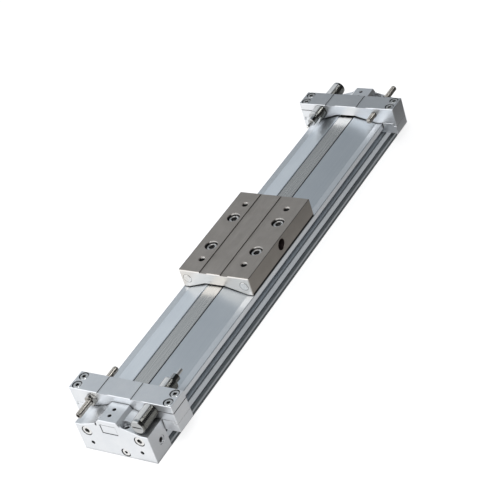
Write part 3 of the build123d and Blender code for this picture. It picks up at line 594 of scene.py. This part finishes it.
def belt_half(node, end, material):
    """Half of a belt: its straight stretch, then its run over the carriage's ramp, traced on the CAD
    part.
    """
    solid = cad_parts[node].data
    corners = [vertex.co for vertex in solid.vertices]
    tree = BVHTree.FromPolygons(corners, [polygon.vertices for polygon in solid.polygons])
    low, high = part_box(node)
    sign = -1 if end == "near" else 1
    outer = low.x if end == "near" else high.x
    foot = table_low.x if end == "near" else table_high.x
    straight = abs(outer - foot)
    bent = abs(foot - table_middle)
    steps, bends = round(straight / belt_step), round(bent / belt_bend_step)
    places = [outer - sign * straight * step / steps for step in range(steps)]
    places += [foot - sign * bent * step / bends for step in range(bends + 1)]
    places[0] = outer - sign * inset
    middle, half = (low.y + high.y) / 2, (high.y - low.y) / 2
    up = Vector((0, 0, 1))
    points = []
    for x in places:
        bottom = tree.ray_cast(Vector((x, middle, -1)), up)[0].z
        top = tree.ray_cast(Vector((x, middle, 1)), -up)[0].z
        for z, inner in ((bottom, 1), (bottom + belt_bevel, 0), (top - belt_bevel, 0), (top, 1)):
            points.append((x, middle - half + inner * belt_bevel, z))
        for z, inner in ((top, 1), (top - belt_bevel, 0), (bottom + belt_bevel, 0), (bottom, 1)):
            points.append((x, middle + half - inner * belt_bevel, z))
    piece = new_piece(node + "_" + end, points, tube_faces(len(places), 8), material)
    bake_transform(piece)
    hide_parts(node)


def circle(radius):
    """Distance to the edge of a circle, at any angle."""
    return lambda angle: radius


def hexagon(half_width):
    """Distance to the edge of a hexagon with the given half width across flats."""
    return lambda angle: half_width / math.cos(angle % (math.pi / 3) - math.pi / 6)


def slot_shape(half_length, half_width):
    """Distance to the edge of a long slot."""

    def distance(angle):
        along = half_length / max(abs(math.cos(angle)), 1e-6)
        across = half_width / max(abs(math.sin(angle)), 1e-6)
        return min(along, across)
    return distance


def thread(start, stop, radius, pitch, groove, crest=0.0):
    """Rings of a screw thread with a flat share on its crest, run out over one turn at each end."""

    def shape(x):
        fade = min(1.0, (x - start) / pitch, (stop - x) / pitch)

        def distance(angle):
            phase = (x / pitch + angle / (2 * math.pi)) % 1.0
            fall = max(0.0, abs(2 * phase - 1) - crest) / (1 - crest)
            return radius - groove * max(fade, 0) * fall
        return distance

    count = round((stop - start) / pitch * thread_rings)
    places = [start + (stop - start) * step / count for step in range(count + 1)]
    return [(x, shape(x)) for x in places]


def turned_piece(name, rings, origin, sign, material, body, node):
    """Closed piece from rings at distances along X from an origin, outwards by a sign."""
    points = []
    for x, shape in rings:
        for step in range(round_points):
            angle = 2 * math.pi * step / round_points
            distance = shape(angle)
            points.append((origin.x + sign * x, origin.y + distance * math.cos(angle),
                           origin.z + distance * math.sin(angle)))
    piece = new_piece(name, points, tube_faces(len(rings), round_points), material, 40)
    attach(piece, body)
    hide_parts(node)


def box_axis(node, end):
    """Inner end of a turned node's axis, its radius and its length."""
    low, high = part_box(node)
    inner = high.x if end == "near" else low.x
    origin = Vector((inner, (low.y + high.y) / 2, (low.z + high.z) / 2))
    return origin, (high.y - low.y) / 2, high.x - low.x


def stop_bolt(end, material):
    """Adjusting bolt with its thread, rounded tip and hexagon socket."""
    node = "adjusting_bolt_" + end
    origin, radius, length = box_axis(node, end)
    rings = [(0, circle(radius - bolt_tip)), (bolt_tip / 4, circle(radius - bolt_tip / 2)),
             (bolt_tip, circle(radius - inset))]
    rings += thread(bolt_tip + thread_gap, length - edge_break, radius, bolt_pitch, bolt_groove)
    rings += [(length, circle(radius - edge_break)), (length, hexagon(bolt_socket / 2)),
              (length - bolt_socket_depth, hexagon(bolt_socket / 2))]
    turned_piece("threaded_bolt_" + end, rings, origin, 1 if end == "far" else -1, material,
                 "stop_bolt_" + end, node)


def absorber(end, material):
    """Absorber body with a fine thread, plain nose, driver slot, and its open chamber."""
    node = "absorber_body_" + end
    origin, radius, length = box_axis(node, end)
    nose = absorber_nose_radius
    chamber = absorber_hole_length + absorber_chamber_length
    rings = [(chamber, circle(inset)), (chamber, circle(absorber_chamber_radius)),
             (absorber_hole_length, circle(absorber_chamber_radius)),
             (absorber_hole_length, circle(absorber_hole_radius)),
             (edge_break / 2, circle(absorber_hole_radius)),
             (0, circle(absorber_hole_radius + edge_break / 2)),
             (0, circle(nose - edge_break)), (edge_break, circle(nose)),
             (absorber_nose_length, circle(nose)),
             (absorber_nose_length, circle(radius - absorber_chamfer))]
    start = absorber_nose_length + absorber_chamfer
    stop = length - absorber_rim
    plain = circle(radius - 2 * inset)
    rings += thread(start, stop, radius, absorber_pitch, absorber_groove, absorber_crest)
    rings += [(stop + thread_gap, plain), (length - absorber_chamfer, plain),
              (length, circle(radius - absorber_chamfer))]
    slot = slot_shape(radius - driver_slot_margin, driver_slot_width / 2)
    rings += [(length, slot), (length - driver_slot_depth, slot)]
    turned_piece("threaded_absorber_" + end, rings, origin, 1 if end == "far" else -1, material,
                 "cylinder", node)


def absorber_spring(end, material):
    """Coil spring of round wire, along its CAD part's axis."""
    node = "absorber_spring_" + end
    origin, radius, length = box_axis(node, end)
    sign = 1 if end == "far" else -1
    coil = radius - spring_wire
    steps = spring_turns * spring_steps
    points = []
    for step in range(steps + 1):
        turn = 2 * math.pi * step / spring_steps
        x = spring_wire + (length - 2 * spring_wire) * step / steps
        for point in range(spring_points):
            angle = 2 * math.pi * point / spring_points
            out = coil + spring_wire * math.cos(angle)
            points.append((origin.x + sign * (x + spring_wire * math.sin(angle)),
                           origin.y + out * math.cos(turn), origin.z + out * math.sin(turn)))
    piece = new_piece("coil_spring_" + end, points, tube_faces(steps + 1, spring_points), material)
    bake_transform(piece)
    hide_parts(node)


def dress(material, *names):
    """Give CAD nodes a material."""
    for name in names:
        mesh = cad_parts[name].data
        mesh.materials.clear()
        mesh.materials.append(material)


def both(*names):
    """Names of the nodes at both ends."""
    return [name + "_" + end for name in names for end in ("near", "far")]


def dress_nodes():
    """Materials of the parts, and pieces that take the place of some of them."""
    dress(anodised_material(), "cylinder_tube")
    dress(machined_material("far_block_shaded_aluminium", 0.80), "stopper_block_far")
    dress(machined_material("machined_aluminium"), *both("end_cover", "rail_clamps", "piston"),
          "stopper_block_near", "belt_clamps", "piston_yoke", "belt_guides", "cushion_spigots")
    dress(table_material(), "slide_table")
    band = band_material()
    screw = steel_material("plated_screws", (0.78, 0.775, 0.765, 1), (0.88, 0.875, 0.865, 1), 0.2, 0.3,
                           edge_highlight=(0.95, 0.95, 0.94, 1))
    dress(screw, "cover_screws", *both("clamp_screws", "cushion_needle"), "piston_screws")
    sunk = steel_material("sunk_screws", (0.80, 0.79, 0.78, 1), (0.90, 0.89, 0.88, 1), 0.25, 0.35,
                          shaded_heads=True)
    dress(sunk, "table_screws")
    nut = steel_material("nut_steel", (0.34, 0.325, 0.30, 1), (0.46, 0.445, 0.42, 1), 0.2, 0.32,
                         edge_highlight=(0.75, 0.74, 0.72, 1))
    dress(nut, "lock_nuts")
    pad = steel_material("hardened_pads", (0.70, 0.69, 0.67, 1), (0.80, 0.79, 0.77, 1), 0.22, 0.34)
    dress(pad, "hit_pads", *both("absorber_rod"))
    dark = steel_material("dark_steel", (0.10, 0.10, 0.11, 1), (0.17, 0.17, 0.18, 1), 0.16, 0.28)
    dress(dark, "set_screws")
    chrome = steel_material("absorber_plating", (0.15, 0.152, 0.14, 1), (0.21, 0.212, 0.20, 1), 0.12,
                            0.20, lit_flank=(0.46, 0.47, 0.475, 1))
    bolt = steel_material("bolt_steel", (0.30, 0.285, 0.26, 1), (0.42, 0.40, 0.37, 1), 0.18, 0.28)
    plastic = plastic_material("dark_plastic", (0.03, 0.03, 0.032, 1), (0.05, 0.05, 0.052, 1), 0.4, 0.55)
    dress(plastic, "end_scrapers", "band_lifters", "band_pressers")
    pale = plastic_material("pale_plastic", (0.62, 0.61, 0.57, 1), (0.72, 0.71, 0.67, 1), 0.4, 0.5)
    dress(pale, "bearing_strips", "wear_rings")
    rubber = plastic_material("rubber", (0.018, 0.018, 0.018, 1), (0.03, 0.03, 0.03, 1), 0.5, 0.65)
    dress(rubber, "cover_gaskets", "piston_seals", "cushion_seals")
    magnet = steel_material("magnet", (0.16, 0.16, 0.165, 1), (0.24, 0.24, 0.245, 1), 0.5, 0.7)
    dress(magnet, "sensor_magnets")
    for end in ("near", "far"):
        belt_half("dust_band", end, band)
        belt_half("seal_belt", end, band)
        stop_bolt(end, bolt)
        absorber(end, chrome)
        absorber_spring(end, dark)


def make_camera():
    """Camera at the photograph's viewpoint, turned about its axis by the roll."""
    data = bpy.data.cameras.new("camera")
    data.sensor_width = sensor_width
    data.lens = camera_lens
    camera = bpy.data.objects.new("camera", data)
    look = Vector(camera_aim) - Vector(camera_place)
    camera.location = camera_place
    camera.rotation_mode = "QUATERNION"
    camera.rotation_quaternion = look.to_track_quat("-Z", "Y") @ Quaternion((0, 0, 1), camera_roll)
    bpy.context.scene.collection.objects.link(camera)
    bpy.context.scene.camera = camera


def make_world():
    """White to the camera, and a soft studio gradient to everything else."""
    world = bpy.data.worlds.new("studio")
    bpy.context.scene.world = world
    tree = Tree(world)
    direction = tree.node("ShaderNodeTexCoord").outputs["Generated"]
    level = tree.total(tree.dot(direction, light_slope), light_middle)
    level = tree.spread(level, light_least, light_most, light_least, light_most)
    tint = tree.mix(tree.spread(level, 0.6, 1.1), (0.87, 0.94, 1.0, 1), (0.98, 0.99, 1.0, 1))
    for middle, rim, full, factor in (side_wall, far_screen, front_wall, far_glow):
        towards = tree.dot(direction, middle)
        level = tree.product(level, tree.spread(towards, rim, full, 1.0, factor, smooth=True))
    rays = tree.node("ShaderNodeLightPath").outputs
    shade = tree.node("ShaderNodeBackground", {0: tint, 1: level})
    white = tree.node("ShaderNodeBackground", {0: (1, 1, 1, 1), 1: 1.0})
    shares = {0: rays["Is Camera Ray"], 1: shade.outputs[0], 2: white.outputs[0]}
    mixed = tree.node("ShaderNodeMixShader", shares)
    tree.node("ShaderNodeOutputWorld", {0: mixed.outputs[0]})


def mirrored_level(tree):
    """Brightness of the floor where the metal mirrors it, with a painted shadow beside the tube."""
    x, y, z = tree.axes()
    outwards = tree.minus(tree.product(y, -1.0), tube_side)
    close = tree.spread(x, block_face, block_face + beside_rise, beside_block_level, beside_level)
    outer = tree.minus(outer_level, tree.product(x, outer_fall))
    outer = tree.spread(outer, outer_least, outer_most, outer_least, outer_most)
    further = tree.spread(outwards, beside_width, beside_width + beside_edge, smooth=True)
    level = tree.total(tree.product(further, tree.minus(outer, close)), close)
    front = tree.spread(x, front_start, front_full)
    white = tree.larger(front, tree.spread(outwards, under_start, under_full))
    return tree.total(level, tree.product(white, tree.minus(1.0, level)))


def make_floor():
    """Pale floor that shows white with a faint shadow, and darker with a painted shadow where the metal
    mirrors it.
    """
    half = floor_size / 2
    corners = [(x * half, y * half, -floor_drop) for x, y in ((-1, -1), (1, -1), (1, 1), (-1, 1))]
    mesh = bpy.data.meshes.new("floor")
    mesh.from_pydata(corners, [], [(0, 1, 2, 3)])
    floor = bpy.data.objects.new("floor", mesh)
    bpy.context.scene.collection.objects.link(floor)
    material, tree = new_material("floor")
    rays = tree.node("ShaderNodeLightPath").outputs
    glow = tree.node("ShaderNodeEmission", {0: (1, 1, 1, 1), 1: floor_glow})
    matte = tree.node("ShaderNodeBsdfDiffuse", {0: floor_colour})
    seen = tree.node("ShaderNodeAddShader", {0: glow.outputs[0], 1: matte.outputs[0]})
    mirrored = tree.node("ShaderNodeEmission", {0: (1, 1, 1, 1), 1: mirrored_level(tree)})
    shares = {0: rays["Is Glossy Ray"], 1: seen.outputs[0], 2: mirrored.outputs[0]}
    mixed = tree.node("ShaderNodeMixShader", shares)
    tree.node("ShaderNodeOutputMaterial", {0: mixed.outputs[0]})
    mesh.materials.append(material)


def make_lamp():
    """Square soft lamp that looks at the middle of the tube."""
    data = bpy.data.lights.new("key", "AREA")
    data.size = lamp_size
    data.energy = lamp_power
    lamp = bpy.data.objects.new("key", data)
    lamp.location = lamp_place
    lamp.rotation_mode = "QUATERNION"
    lamp.rotation_quaternion = (-Vector(lamp_place)).to_track_quat("-Z", "Y")
    bpy.context.scene.collection.objects.link(lamp)


def make_studio():
    """Surroundings, floor, lamp and plain colours."""
    make_world()
    make_floor()
    make_lamp()
    bpy.context.scene.view_settings.view_transform = "Standard"


make_camera()
make_studio()
dress_nodes()
